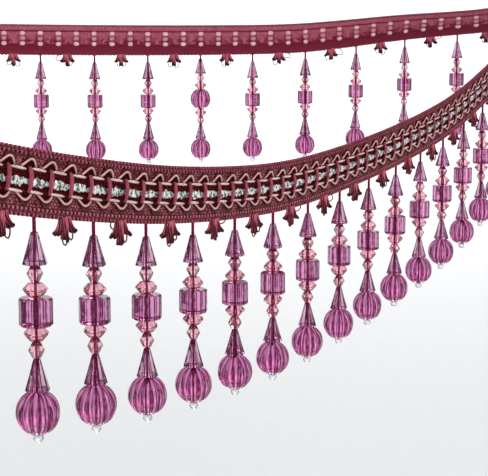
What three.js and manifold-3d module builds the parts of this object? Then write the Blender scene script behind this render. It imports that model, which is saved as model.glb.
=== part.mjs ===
// Beaded fringe trim: a woven gimp heading, hung by its top edge and looped back on itself,
// with strung bead drops and yarn tufts along its lower edge. Millimetres, +Z up.
import * as THREE from 'three';
import { mergeVertices } from 'three/addons/utils/BufferGeometryUtils.js';
import Module from 'manifold-3d';

const wasm = await Module();
wasm.setup();

// Repeat of the trim: three ladder cells to each bead drop, a tuft midway between two drops
const CELL = 14;
const CELLS_A_DROP = 3;
const PITCH = CELL * CELLS_A_DROP;
const DROPS = 31;
const START = -PITCH / 2;

// Plan of the hung length, seen from above. Bearings run from +Y towards +X, in degrees.
const TURN_RADIUS = 40.3;
const TURN_SWING = 109.1;
const START_BEARING = 23.4;
const SECTIONS = [
  { name: 'front_near', length: 431, swing: 2.6, fine: false },
  { name: 'front_far', length: 200, swing: -1.6, fine: false },
  { name: 'front_hidden', length: 165.8, swing: 0, fine: false },
  { name: 'turn', length: THREE.MathUtils.degToRad(TURN_SWING) * TURN_RADIUS, swing: -TURN_SWING, fine: true },
  { name: 'back_bend', length: 70, swing: -14, fine: true },
  { name: 'back_near', length: 80, swing: 0, fine: true },
  { name: 'back', length: 360, swing: 0, fine: false },
];

// The hung edge along the length: drop is how far the top edge lies below its highest point, lean is
// how many degrees the lower edge swings out towards the front
const PEAK_AT = 819;
const HUNG_EDGE = [
  { along: -21, drop: 35.3, lean: 0 },
  { along: 63, drop: 51.3, lean: 0 },
  { along: 147, drop: 64.1, lean: 0 },
  { along: 231, drop: 72.0, lean: 0 },
  { along: 294, drop: 73.8, lean: 0 },
  { along: 378, drop: 70.8, lean: 0 },
  { along: 462, drop: 64.3, lean: 0 },
  { along: 525, drop: 56.6, lean: 0 },
  { along: 588, drop: 44.4, lean: 0 },
  { along: 672, drop: 25.0, lean: 0 },
  { along: 756, drop: 6.9, lean: 8 },
  { along: 819, drop: 0, lean: 24 },
  { along: 868, drop: 6.9, lean: 36 },
  { along: 931, drop: 11.1, lean: 28 },
  { along: 1008, drop: 17.3, lean: 12 },
  { along: 1058, drop: 18.6, lean: 9 },
  { along: 1172, drop: 18.2, lean: 0 },
  { along: 1281, drop: 16.6, lean: 0 },
];
const SLOPE_STEP = 1;

// Woven heading: depth is measured down from the top edge, out is measured towards the front
const CLEAR = 0.3;
const BAND_BACK = -1.0;
const BAND_FRONT = 0.7;
const SELVEDGE_FRONT = 1.0;
const SELVEDGE_DEPTH = 2.6;
const SHOULDER_FRONT = 1.3;
const CHANNEL_FRONT = 0.0;
const CHANNEL_MID = 11.8;
const CHANNEL_HALF = 3.0;
const STEP = 0.5;
const BAND_DEPTH = 20.4;
const STRIP_TOP = BAND_DEPTH + CLEAR;
const STRIP_FOOT = 24.4;
const STRIP_HALF = 1.0;

// Satin gimp ladder that bridges the channel
const LADDER_BACK = SHOULDER_FRONT + CLEAR;
const LADDER_FRONT = LADDER_BACK + 1.0;
const LADDER_HALF = 4.8;
const RAIL = 1.2;
const BAR = 2.8;

// Tinsel cord in the channel
const TINSEL_BACK = CHANNEL_FRONT + CLEAR;
const TINSEL_FRONT = LADDER_BACK - CLEAR;
const TINSEL_HALF = 1.0;
const TINSEL_FLAT = 0.5;

// Tufts: a row for each lock. Root and tip are offsets along the trim, tipOut is how far the tip swings
// to the front, and the halves are half widths.
const TUFT_ROOT = 1.5;
const LOCKS = [
  { name: 'left', length: 5.2, root: -1.7, tip: -4.3, tipOut: -1.3, rootHalf: 0.6, tipHalf: 1.1 },
  { name: 'middle', length: 9.2, root: 0, tip: 0, tipOut: 0, rootHalf: 0.8, tipHalf: 1.5 },
  { name: 'right', length: 5.2, root: 1.7, tip: 4.3, tipOut: 1.3, rootHalf: 0.6, tipHalf: 1.1 },
];
const LOCK_THICK_ROOT = 0.6;
const LOCK_THICK_TIP = 0.9;

// Bead drops. A bead with a belly is widest at mid height, a cone or a prism runs straight.
const SIDES = 6;
const STRING_RADIUS = 0.7;
const STRING_LENGTH = 5.1;
const STRING_GAP = 0.4;
const CONE = { top: 1.4, foot: 4.6, height: 11.8 };
const LONG_CONE = { ...CONE, height: 13.4 };
const BICONE = { top: 1.5, belly: 3.1, foot: 1.5, height: 6.4 };
const RONDELLE = { top: 1.6, belly: 4.6, foot: 1.6, height: 5.6 };
const PRISM = { top: 6.1, foot: 6.1, height: 10.2 };
const MELON = { top: 2.6, shoulder: 6.0, belly: 8.1, foot: 2.2, height: 16.2 };
const STOPPER = { top: 2.0, foot: 1.2, height: 3 };
const MELON_SHOULDER_AT = 0.15;
const beadsOf = (cone, middle) => [cone, BICONE, RONDELLE, middle, RONDELLE, BICONE, cone, MELON, STOPPER];
const heightOf = (beads) => beads.reduce((sum, bead) => sum + bead.height, 0);
const MELON_DROP_INDEX = 26;
const FIRST_BACK_DROP = 20;

const FINISH = {
  heading: { color: 0x6e2a40, roughness: 0.85, metalness: 0 },
  gimp: { color: 0xb75a6c, roughness: 0.45, metalness: 0 },
  tinsel: { color: 0xc9cdc8, roughness: 0.3, metalness: 0.8 },
  tuft: { color: 0x9c4458, roughness: 0.6, metalness: 0 },
  drop: { color: 0x8f2c74, roughness: 0.12, metalness: 0 },
};

// The centre line in plan at a distance along the trim, and its bearing there
function planAt(along) {
  let bearing = THREE.MathUtils.degToRad(START_BEARING);
  let left = along - START;
  const point = new THREE.Vector2(0, 0);
  for (const section of SECTIONS) {
    const run = section === SECTIONS.at(-1) ? left : Math.min(left, section.length);
    const bend = THREE.MathUtils.degToRad(section.swing) / section.length;
    const end = bearing + bend * run;
    if (bend === 0) {
      point.x += Math.sin(bearing) * run;
      point.y += Math.cos(bearing) * run;
    } else {
      point.x += (Math.cos(bearing) - Math.cos(end)) / bend;
      point.y += (Math.sin(end) - Math.sin(bearing)) / bend;
    }
    bearing = end;
    left -= run;
    if (left <= 0) break;
  }
  return { point, bearing };
}

// Smooth value of a column of HUNG_EDGE, by cubic pieces whose slopes join neighbouring rows
function edgeValue(column, along) {
  const rows = HUNG_EDGE;
  const slope = (i) => {
    const before = rows[Math.max(i - 1, 0)];
    const after = rows[Math.min(i + 1, rows.length - 1)];
    return (after[column] - before[column]) / (after.along - before.along);
  };
  let i = 0;
  while (i < rows.length - 2 && along > rows[i + 1].along) i += 1;
  const span = rows[i + 1].along - rows[i].along;
  const t = (along - rows[i].along) / span;
  const rise = rows[i + 1][column] - rows[i][column];
  const from = slope(i) * span;
  const to = slope(i + 1) * span;
  return rows[i][column] + from * t + (3 * rise - 2 * from - to) * t ** 2 + (from + to - 2 * rise) * t ** 3;
}

// Stations: one at each pitch, and one at each ladder cell where the length turns or leans
function makeStations() {
  const fineRanges = [];
  let at = START;
  for (const section of SECTIONS) {
    if (section.fine) fineRanges.push([at - CELL, at + section.length + CELL]);
    at += section.length;
  }
  const origin = planAt(PEAK_AT).point;
  const stations = [];
  for (let j = 0; j <= DROPS * CELLS_A_DROP; j += 1) {
    const along = START + j * CELL;
    const isFine = fineRanges.some(([from, to]) => along > from && along < to);
    if (j % CELLS_A_DROP !== 0 && !isFine) continue;
    const { point } = planAt(along);
    const base = new THREE.Vector3(point.x - origin.x, point.y - origin.y, -edgeValue('drop', along));
    stations.push({ along, base });
  }
  stations.forEach((station, i) => orientStation(station, stations[i - 1], stations[i + 1]));
  return stations;
}

// The way along, the outward and the downward direction of a station, square to each other. Their
// sideways shares are mitred, so that the spans on either side keep the same clearances.
function orientStation(station, before, after) {
  const flatWay = (from, to) => new THREE.Vector2(to.base.x - from.base.x, to.base.y - from.base.y).normalize();
  const into = before ? flatWay(before, station) : flatWay(station, after);
  const onward = after ? flatWay(station, after) : into;
  const way = into.clone().add(onward).normalize();
  const mitre = 1 / way.dot(into);
  const { along } = station;
  const fall = edgeValue('drop', along + SLOPE_STEP) - edgeValue('drop', along - SLOPE_STEP);
  const slope = Math.atan2(-fall, 2 * SLOPE_STEP);
  const lean = THREE.MathUtils.degToRad(edgeValue('lean', along));
  const side = new THREE.Vector3(way.y, -way.x, 0);
  const plumb = new THREE.Vector3(way.x * Math.sin(slope), way.y * Math.sin(slope), -Math.cos(slope));
  station.way = way;
  station.out = side.clone().multiplyScalar(mitre * Math.cos(lean)).addScaledVector(plumb, -Math.sin(lean));
  station.down = plumb.clone().multiplyScalar(Math.cos(lean)).addScaledVector(side, mitre * Math.sin(lean));
}

const STATIONS = makeStations();

// A point of the trim: along its length, out from its middle surface, and depth below its top edge
function place(along, out, depth) {
  let i = 0;
  while (i < STATIONS.length - 2 && along > STATIONS[i + 1].along) i += 1;
  const from = STATIONS[i];
  const to = STATIONS[i + 1];
  const t = (along - from.along) / (to.along - from.along);
  const between = (key) => from[key].clone().lerp(to[key], t);
  return between('base').addScaledVector(between('out'), out).addScaledVector(between('down'), depth);
}

// A closed geometry from points and triangles, its faces turned outward
function closedGeometry(points, triangles) {
  let volume = 0;
  for (const [a, b, c] of triangles) {
    volume += points[a].dot(points[b].clone().cross(points[c]));
  }
  const faces = volume < 0 ? triangles.map(([a, b, c]) => [a, c, b]) : triangles;
  const geometry = new THREE.BufferGeometry();
  geometry.setAttribute('position', new THREE.Float32BufferAttribute(points.flatMap((p) => p.toArray()), 3));
  geometry.setIndex(faces.flat());
  return geometry;
}

// A section of {out, depth} corners swept along the stations, with a cap at each cut end
function sweep(section) {
  const size = section.length;
  const points = STATIONS.flatMap(({ along }) => section.map(({ out, depth }) => place(along, out, depth)));
  const triangles = [];
  for (let i = 0; i + 1 < STATIONS.length; i += 1) {
    for (let k = 0; k < size; k += 1) {
      const a = i * size + k;
      const b = i * size + ((k + 1) % size);
      triangles.push([a, b, b + size], [a, b + size, a + size]);
    }
  }
  const outline = section.map(({ out, depth }) => new THREE.Vector2(out, depth));
  const last = (STATIONS.length - 1) * size;
  for (const cap of THREE.ShapeUtils.triangulateShape(outline, [])) {
    const follows = THREE.ShapeUtils.area(cap.map((v) => outline[v])) * THREE.ShapeUtils.area(outline) > 0;
    const [a, b, c] = follows ? cap : cap.toReversed();
    triangles.push([c, b, a], [last + a, last + b, last + c]);
  }
  return closedGeometry(points, triangles);
}

const group = new THREE.Group();

function addMesh(name, geometry, finish) {
  const mesh = new THREE.Mesh(geometry, new THREE.MeshStandardMaterial(finish));
  mesh.name = name;
  group.add(mesh);
  return mesh;
}

// Heading band: thick top selvedge, two shoulders under the rails and a channel between them
function headingSection() {
  const channelTop = CHANNEL_MID - CHANNEL_HALF;
  const channelFoot = CHANNEL_MID + CHANNEL_HALF;
  const shoulderTop = CHANNEL_MID - LADDER_HALF;
  const shoulderFoot = CHANNEL_MID + LADDER_HALF;
  return [
    { out: SELVEDGE_FRONT, depth: 0 },
    { out: SELVEDGE_FRONT, depth: SELVEDGE_DEPTH },
    { out: BAND_FRONT, depth: SELVEDGE_DEPTH + STEP },
    { out: BAND_FRONT, depth: shoulderTop - STEP },
    { out: SHOULDER_FRONT, depth: shoulderTop },
    { out: SHOULDER_FRONT, depth: channelTop - STEP },
    { out: CHANNEL_FRONT, depth: channelTop },
    { out: CHANNEL_FRONT, depth: channelFoot },
    { out: SHOULDER_FRONT, depth: channelFoot + STEP },
    { out: SHOULDER_FRONT, depth: shoulderFoot },
    { out: BAND_FRONT, depth: shoulderFoot + STEP },
    { out: BAND_FRONT, depth: BAND_DEPTH },
    { out: BAND_BACK, depth: BAND_DEPTH },
    { out: BAND_BACK, depth: 0 },
  ];
}

function tinselSection() {
  const corner = (out, offset) => ({ out, depth: CHANNEL_MID + offset });
  const middle = (TINSEL_BACK + TINSEL_FRONT) / 2;
  return [
    corner(TINSEL_FRONT, -TINSEL_FLAT),
    corner(TINSEL_FRONT, TINSEL_FLAT),
    corner(middle, TINSEL_HALF),
    corner(TINSEL_BACK, TINSEL_FLAT),
    corner(TINSEL_BACK, -TINSEL_FLAT),
    corner(middle, -TINSEL_HALF),
  ];
}

// Gimp ladder: a pair of rails joined by a bar at each cell boundary, with an opening in each cell
function ladderGeometry() {
  const points = [];
  const triangles = [];
  const add = (along, out, depth) => points.push(place(along, out, depth)) - 1;
  const quad = (a, b, c, d) => triangles.push([a, b, c], [a, c, d]);
  const top = CHANNEL_MID - LADDER_HALF;
  const foot = CHANNEL_MID + LADDER_HALF;
  const boundary = (along) => ({
    frontTop: add(along, LADDER_FRONT, top),
    frontFoot: add(along, LADDER_FRONT, foot),
    backTop: add(along, LADDER_BACK, top),
    backFoot: add(along, LADDER_BACK, foot),
  });
  let near = boundary(START);
  quad(near.frontTop, near.backTop, near.backFoot, near.frontFoot);
  for (let j = 0; j < DROPS * CELLS_A_DROP; j += 1) {
    const from = START + j * CELL + BAR / 2;
    const to = START + (j + 1) * CELL - BAR / 2;
    const holes = [LADDER_FRONT, LADDER_BACK].map((out) => [
      add(from, out, top + RAIL),
      add(to, out, top + RAIL),
      add(to, out, foot - RAIL),
      add(from, out, foot - RAIL),
    ]);
    const far = boundary(START + (j + 1) * CELL);
    const front = [near.frontTop, far.frontTop, far.frontFoot, near.frontFoot];
    const back = [near.backTop, far.backTop, far.backFoot, near.backFoot];
    for (let k = 0; k < 4; k += 1) {
      const next = (k + 1) % 4;
      quad(front[next], front[k], holes[0][k], holes[0][next]);
      quad(back[k], back[next], holes[1][next], holes[1][k]);
      quad(holes[0][k], holes[1][k], holes[1][next], holes[0][next]);
    }
    quad(near.frontTop, far.frontTop, far.backTop, near.backTop);
    quad(near.frontFoot, near.backFoot, far.backFoot, far.frontFoot);
    near = far;
  }
  quad(near.frontTop, near.frontFoot, near.backFoot, near.backTop);
  return closedGeometry(points, triangles);
}

function toManifold(geometry) {
  const merged = mergeVertices(geometry);
  const vertProperties = new Float32Array(merged.attributes.position.array);
  return new wasm.Manifold(new wasm.Mesh({ numProp: 3, vertProperties, triVerts: new Uint32Array(merged.index.array) }));
}

function fromManifold(solid) {
  const mesh = solid.getMesh();
  const geometry = new THREE.BufferGeometry();
  geometry.setAttribute('position', new THREE.BufferAttribute(new Float32Array(mesh.vertProperties), 3));
  geometry.setIndex(new THREE.BufferAttribute(new Uint32Array(mesh.triVerts), 1));
  return geometry;
}

// One lock of yarn at a station: a four-sided strand that hangs plumb from inside the strip
function lockGeometry(station, lock) {
  const { way } = station;
  const foot = place(station.along, 0, STRIP_FOOT);
  const corner = (side, thick, depth) => new THREE.Vector3(
    foot.x + way.x * side + way.y * thick,
    foot.y + way.y * side - way.x * thick,
    foot.z - depth,
  );
  const ring = (side, out, half, thick, depth) => [
    corner(side - half, out - thick, depth),
    corner(side + half, out - thick, depth),
    corner(side + half, out + thick, depth),
    corner(side - half, out + thick, depth),
  ];
  const points = [
    ...ring(lock.root, 0, lock.rootHalf, LOCK_THICK_ROOT, -TUFT_ROOT),
    ...ring(lock.tip, lock.tipOut, lock.tipHalf, LOCK_THICK_TIP, lock.length),
  ];
  const triangles = [[0, 2, 1], [0, 3, 2], [4, 5, 6], [4, 6, 7]];
  for (let k = 0; k < 4; k += 1) {
    const next = (k + 1) % 4;
    triangles.push([k, next, next + 4], [k, next + 4, k + 4]);
  }
  return closedGeometry(points, triangles);
}

// Lower selvedge strip with a tuft of three locks midway between each two drops
function tuftStripGeometry() {
  let solid = toManifold(sweep([
    { out: STRIP_HALF, depth: STRIP_TOP },
    { out: STRIP_HALF, depth: STRIP_FOOT },
    { out: -STRIP_HALF, depth: STRIP_FOOT },
    { out: -STRIP_HALF, depth: STRIP_TOP },
  ]));
  for (let k = 1; k < DROPS; k += 1) {
    const along = START + k * PITCH;
    const station = STATIONS.find((other) => Math.abs(other.along - along) < CLEAR);
    for (const lock of LOCKS) solid = solid.add(toManifold(lockGeometry(station, lock)));
  }
  return fromManifold(solid);
}

// One drop: string and beads as one turned solid, from the string's top at zero downwards
function dropGeometry(stringLength, beads) {
  const outline = [[0, 0], [STRING_RADIUS, 0], [STRING_RADIUS, -stringLength]];
  let z = -stringLength;
  let lastRadius = STRING_RADIUS;
  for (const bead of beads) {
    if (bead.top !== lastRadius) outline.push([bead.top, z]);
    if (bead.shoulder) outline.push([bead.shoulder, z - bead.height * MELON_SHOULDER_AT]);
    if (bead.belly) outline.push([bead.belly, z - bead.height / 2]);
    if (bead.shoulder) outline.push([bead.shoulder, z - bead.height * (1 - MELON_SHOULDER_AT)]);
    z -= bead.height;
    outline.push([bead.foot, z]);
    lastRadius = bead.foot;
  }
  outline.push([0, z]);
  const turned = new THREE.LatheGeometry(outline.map(([r, h]) => new THREE.Vector2(r, h)).reverse(), SIDES);
  turned.deleteAttribute('normal');
  turned.deleteAttribute('uv');
  turned.rotateX(Math.PI / 2);
  return mergeVertices(turned);
}

addMesh('heading_band', sweep(headingSection()), FINISH.heading);
addMesh('gimp_ladder', ladderGeometry(), FINISH.gimp);
addMesh('tinsel_cord', sweep(tinselSection()), FINISH.tinsel);
addMesh('tuft_strip', tuftStripGeometry(), FINISH.tuft);

// Drops hang plumb from the strip's foot, clear of its corners where it leans
for (let k = 0; k < DROPS; k += 1) {
  const along = k * PITCH;
  const usual = beadsOf(k < FIRST_BACK_DROP ? CONE : LONG_CONE, PRISM);
  const beads = k === MELON_DROP_INDEX ? beadsOf(CONE, MELON) : usual;
  const stringLength = STRING_LENGTH + heightOf(usual) - heightOf(beads);
  const drop = addMesh(
    `bead_drop_${String(k).padStart(2, '0')}`,
    dropGeometry(stringLength, beads),
    FINISH.drop,
  );
  drop.position.copy(place(along, 0, STRIP_FOOT));
  drop.position.z -= STRING_GAP + STRIP_HALF * Math.sin(THREE.MathUtils.degToRad(edgeValue('lean', along)));
  drop.rotation.z = -planAt(along).bearing;
}

export default group;
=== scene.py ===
"""Looks of a beaded fringe trim: its woven heading, gimp, tinsel, yarn tufts and strung bead drops."""

import logging
import math
import random
from collections.abc import Sequence
from dataclasses import astuple, dataclass, field
from enum import Enum
from functools import cached_property

import bpy
import numpy as np
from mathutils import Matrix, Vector


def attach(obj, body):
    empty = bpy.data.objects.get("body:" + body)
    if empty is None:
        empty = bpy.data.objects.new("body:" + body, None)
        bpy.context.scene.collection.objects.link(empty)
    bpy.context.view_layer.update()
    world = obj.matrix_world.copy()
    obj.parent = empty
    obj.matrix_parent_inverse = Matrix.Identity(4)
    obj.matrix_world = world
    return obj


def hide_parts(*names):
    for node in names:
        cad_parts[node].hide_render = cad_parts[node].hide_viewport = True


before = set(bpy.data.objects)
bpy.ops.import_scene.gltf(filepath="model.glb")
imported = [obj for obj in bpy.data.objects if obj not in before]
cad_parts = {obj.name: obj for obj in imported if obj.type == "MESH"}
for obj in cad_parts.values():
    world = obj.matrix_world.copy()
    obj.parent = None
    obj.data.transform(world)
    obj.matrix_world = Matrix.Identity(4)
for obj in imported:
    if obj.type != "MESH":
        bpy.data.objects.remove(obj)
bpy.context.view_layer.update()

LOG = logging.getLogger("beaded_fringe_trim")
MM = 0.001
BODY = "root"

Colour = tuple[float, float, float, float]


def tint(red: int, green: int, blue: int) -> Colour:
    """Turn a screen colour into the linear colour that shaders use.

    Args:
        red: Red from 0 to 255.
        green: Green from 0 to 255.
        blue: Blue from 0 to 255.

    Returns:
        The linear colour with full alpha.
    """
    linear = []
    for channel in (red, green, blue):
        share = channel / 255
        linear.append(share / 12.92 if share <= 0.04045 else ((share + 0.055) / 1.055) ** 2.4)
    return (linear[0], linear[1], linear[2], 1.0)


# The line on which the trim hangs


@dataclass(frozen=True)
class TrimSizes:
    """Sizes that all parts of the trim share, in mm."""

    cell: float = 14.0
    cells_a_drop: int = 3
    drops: int = 31
    foot: float = 24.4

    @property
    def pitch(self) -> float:
        """Give the distance from drop to drop."""
        return self.cell * self.cells_a_drop

    @property
    def start(self) -> float:
        """Give where the trim starts, half a pitch before its first drop."""
        return -self.pitch / 2

    @property
    def length(self) -> float:
        """Give the whole length of the trim."""
        return self.pitch * self.drops


@dataclass(frozen=True)
class PlanSection:
    """A stretch of the plan line that bends evenly: its length in mm and its swing in degrees."""

    length: float
    swing: float


@dataclass(frozen=True)
class EdgeRow:
    """The hung edge at one place: mm along, mm below the highest point, degrees of lean."""

    along: float
    drop: float
    lean: float


@dataclass(frozen=True)
class HungPath:
    """The heading's top edge in space, and the way out and down from it. Lengths are in mm."""

    sizes: TrimSizes
    step: float = 3.5
    peak_at: float = 819.0
    start_bearing: float = 23.4
    turn_swing: float = 109.1
    turn_radius: float = 40.3
    slope_step: float = 1.0
    sections: tuple[PlanSection, ...] = tuple(
        PlanSection(*section)
        for section in (
            (431, 2.6), (200, -1.6), (165.8, 0), (math.radians(turn_swing) * turn_radius, -turn_swing),
            (70, -14), (80, 0), (360, 0),
        )
    )
    rows: tuple[EdgeRow, ...] = tuple(
        EdgeRow(*row)
        for row in (
            (-21, 35.3, 0), (63, 51.3, 0), (147, 64.1, 0), (231, 72.0, 0), (294, 73.8, 0),
            (378, 70.8, 0), (462, 64.3, 0), (525, 56.6, 0), (588, 44.4, 0), (672, 25.0, 0),
            (756, 6.9, 8), (819, 0, 24), (868, 6.9, 36), (931, 11.1, 28), (1008, 17.3, 12),
            (1058, 18.6, 9), (1172, 18.2, 0), (1281, 16.6, 0),
        )
    )

    @property
    def ends(self) -> tuple[float, float]:
        """Give where the trim starts and ends, in mm along."""
        return self.sizes.start, self.sizes.start + self.sizes.length

    def plan_at(self, along: float) -> tuple[float, float, float]:
        """Follow the plan line to a distance along the trim.

        Args:
            along: Distance along the trim in mm.

        Returns:
            X and Y in mm from the plan's start, and the bearing there in radians.
        """
        bearing = math.radians(self.start_bearing)
        left = along - self.sizes.start
        x = 0.0
        y = 0.0
        for section in self.sections:
            run = left if section is self.sections[-1] else min(left, section.length)
            bend = math.radians(section.swing) / section.length
            end = bearing + bend * run
            if bend == 0:
                x += math.sin(bearing) * run
                y += math.cos(bearing) * run
            else:
                x += (math.cos(bearing) - math.cos(end)) / bend
                y += (math.sin(end) - math.sin(bearing)) / bend
            bearing = end
            left -= run
            if left <= 0:
                break
        return x, y, bearing

    def edge(self, column: str, along: float) -> float:
        """Read a column of the hung edge's rows, smoothed between them.

        Args:
            column: Either drop or lean.
            along: Distance along the trim in mm.

        Returns:
            The column's value there.
        """
        rows = self.rows
        last = len(rows) - 1

        def slope(i: int) -> float:
            """Give the slope through a row's two neighbours."""
            before = rows[max(i - 1, 0)]
            after = rows[min(i + 1, last)]
            return (getattr(after, column) - getattr(before, column)) / (after.along - before.along)

        i = 0
        while i < last - 1 and along > rows[i + 1].along:
            i += 1
        span = rows[i + 1].along - rows[i].along
        t = (along - rows[i].along) / span
        value = getattr(rows[i], column)
        rise = getattr(rows[i + 1], column) - value
        leave = slope(i) * span
        reach = slope(i + 1) * span
        return value + leave * t + (3 * rise - 2 * leave - reach) * t**2 + (leave + reach - 2 * rise) * t**3

    @cached_property
    def stations(self) -> np.ndarray:
        """Set out the trim's line in equal steps.

        Returns:
            Base, outward and downward vectors at each step, with shape (steps, 3, 3), in mm.
        """
        origin_x, origin_y, _ = self.plan_at(self.peak_at)
        found = []
        for i in range(round(self.sizes.length / self.step) + 1):
            along = self.sizes.start + i * self.step
            x, y, bearing = self.plan_at(along)
            fall = self.edge("drop", along + self.slope_step) - self.edge("drop", along - self.slope_step)
            slope = math.atan2(-fall, 2 * self.slope_step)
            lean = math.radians(self.edge("lean", along))
            way = np.array([math.sin(bearing), math.cos(bearing), 0.0])
            side = np.array([way[1], -way[0], 0.0])
            plumb = way * math.sin(slope) + np.array([0.0, 0.0, -math.cos(slope)])
            base = np.array([x - origin_x, y - origin_y, -self.edge("drop", along)])
            out = side * math.cos(lean) - plumb * math.sin(lean)
            down = plumb * math.cos(lean) + side * math.sin(lean)
            found.append([base, out, down])
        return np.array(found)

    def frames(self, along: np.ndarray) -> np.ndarray:
        """Interpolate the stations.

        Args:
            along: Distances along the trim in mm, of any shape.

        Returns:
            Base, outward and downward vectors, with shape (..., 3, 3).
        """
        at = (np.asarray(along, float) - self.sizes.start) / self.step
        i = np.clip(np.floor(at).astype(int), 0, len(self.stations) - 2)
        share = (at - i)[..., None, None]
        return self.stations[i] * (1 - share) + self.stations[i + 1] * share

    def place(
        self, along: float | np.ndarray, out: float | np.ndarray, depth: float | np.ndarray
    ) -> np.ndarray:
        """Find points of the trim.

        Args:
            along: Distance along the trim in mm.
            out: Distance towards the front from its middle surface in mm.
            depth: Distance down from its top edge in mm.

        Returns:
            Points in metres, with shape (..., 3).
        """
        along, out, depth = np.broadcast_arrays(along, out, depth)
        base, outward, down = np.moveaxis(self.frames(along), -2, 0)
        return (base + outward * out[..., None] + down * depth[..., None]) * MM

    def outward(self, along: np.ndarray) -> np.ndarray:
        """Give the unit direction towards the front at distances along the trim."""
        direction = self.frames(along)[..., 1, :]
        return direction / np.linalg.norm(direction, axis=-1, keepdims=True)

    def line(
        self, along: np.ndarray, out: float | np.ndarray, depth: float | np.ndarray
    ) -> tuple[np.ndarray, np.ndarray]:
        """Give a line's points in metres and the outward direction at each, kept inside the trim's ends."""
        along = np.clip(along, *self.ends)
        return self.place(along, out, depth), self.outward(along)

    def plumb_axes(self, along: float) -> np.ndarray:
        """Give the level ways along and out, and the way down, as rows of an array in metres per mm."""
        bearing = self.plan_at(along)[2]
        way = np.array([math.sin(bearing), math.cos(bearing), 0.0])
        return np.stack([way, np.array([way[1], -way[0], 0.0]), np.array([0.0, 0.0, -1.0])]) * MM


# Meshes


@dataclass
class MeshPile:
    """Points, faces and thread coordinates of one piece, gathered part by part."""

    points: list[np.ndarray] = field(default_factory=list)
    marks: list[np.ndarray] = field(default_factory=list)
    faces: list[list[int]] = field(default_factory=list)
    smooth: list[bool] = field(default_factory=list)
    slots: list[int] = field(default_factory=list)
    count: int = 0

    def add_loops(
        self,
        loops: np.ndarray,
        marks: np.ndarray,
        smooth: bool = True,
        slot: int = 0,
    ) -> None:
        """Skin a row of closed loops and close its two ends.

        Args:
            loops: Points in metres, with shape (loops, points, 3), turning about the direction of travel.
            marks: The coordinates that the material reads at each point.
            smooth: Whether the faces are shaded smooth.
            slot: Which material slot the faces take.
        """
        rows, sides = loops.shape[:2]
        index = np.arange(rows * sides).reshape(rows, sides) + self.count
        onward = np.roll(index, -1, axis=1)
        quads = np.stack([index[:-1], onward[:-1], onward[1:], index[1:]], axis=-1).reshape(-1, 4)
        caps = [index[0, ::-1].tolist(), index[-1].tolist()]
        self.points.append(loops.reshape(-1, 3))
        self.marks.append(marks.reshape(-1, 3))
        self.faces.extend(quads.tolist() + caps)
        self.smooth.extend([smooth] * len(quads) + [False, False])
        self.slots.extend([slot] * (len(quads) + 2))
        self.count += rows * sides

    def add_tube(
        self,
        centres: np.ndarray,
        normals: np.ndarray,
        high: float | np.ndarray,
        wide: float | np.ndarray,
        sides: int = 8,
        smooth: bool = True,
        slot: int = 0,
        run: np.ndarray | None = None,
    ) -> None:
        """Skin a tube round a line of points.

        Args:
            centres: Points of the line in metres, with shape (points, 3).
            normals: The direction that the tube's height lies in, at each point.
            high: Half height of the section in mm, one for all or per point (and side).
            wide: Half width of the section in mm, one for all or per point (and side).
            sides: Number of sides of the section.
            smooth: Whether the faces are shaded smooth.
            slot: Which material slot the faces take.
            run: Distances in mm that the material reads, where they aren't the line's own length.
        """
        way = np.gradient(centres, axis=0)
        way /= np.linalg.norm(way, axis=1, keepdims=True) + 1e-12
        up = normals - way * np.sum(normals * way, axis=1, keepdims=True)
        up /= np.linalg.norm(up, axis=1, keepdims=True) + 1e-12
        across = np.cross(way, up)
        angle = np.linspace(0, 2 * math.pi, sides, endpoint=False)
        shape = (len(centres), sides)
        high = np.broadcast_to(np.reshape(high, (-1, 1)) if np.ndim(high) == 1 else high, shape)
        wide = np.broadcast_to(np.reshape(wide, (-1, 1)) if np.ndim(wide) == 1 else wide, shape)
        rise = up[:, None, :] * (high * np.cos(angle))[..., None]
        swing = across[:, None, :] * (wide * np.sin(angle))[..., None]
        marks = np.empty(shape + (3,))
        marks[..., 0] = (line_run(centres) if run is None else run)[:, None]
        marks[..., 1] = np.cos(angle)
        marks[..., 2] = np.sin(angle)
        self.add_loops(centres[:, None, :] + (rise + swing) * MM, marks, smooth, slot)

    def to_mesh(self, name: str, finishes: Sequence["Finish"]) -> bpy.types.Mesh:
        """Make a mesh of everything gathered.

        Args:
            name: The mesh's name.
            finishes: The finishes of its slots, in order.

        Returns:
            The mesh, with the attribute thread on its points.
        """
        mesh = bpy.data.meshes.new(name)
        mesh.from_pydata(np.concatenate(self.points).tolist(), [], self.faces)
        mesh.polygons.foreach_set("use_smooth", self.smooth)
        mesh.polygons.foreach_set("material_index", self.slots)
        thread = mesh.attributes.new("thread", "FLOAT_VECTOR", "POINT")
        thread.data.foreach_set("vector", np.concatenate(self.marks).astype(np.float32).ravel())
        for finish in finishes:
            mesh.materials.append(finish.material())
        mesh.update()
        return mesh

    def show(
        self, name: str, slot: str, finishes: Sequence["Finish"], stands_for: Sequence[str] = ()
    ) -> bpy.types.Object:
        """Show everything gathered as one piece of the trim.

        Args:
            name: The name of the piece and of its mesh.
            finishes: The finishes of its slots, in order.
            stands_for: The CAD nodes that the piece replaces.

        Returns:
            The new object.
        """
        return show(self.to_mesh(name, finishes), name, stands_for)


def line_run(points: np.ndarray) -> np.ndarray:
    """Give the distance in mm to each point of a line whose points are in metres."""
    return np.concatenate([[0], np.cumsum(np.linalg.norm(np.diff(points, axis=0), axis=1))]) / MM


def add_object(name: str, data: bpy.types.ID) -> bpy.types.Object:
    """Put an object with a mesh, light or camera into the scene."""
    made = bpy.data.objects.new(name, data)
    bpy.context.scene.collection.objects.link(made)
    return made


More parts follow.
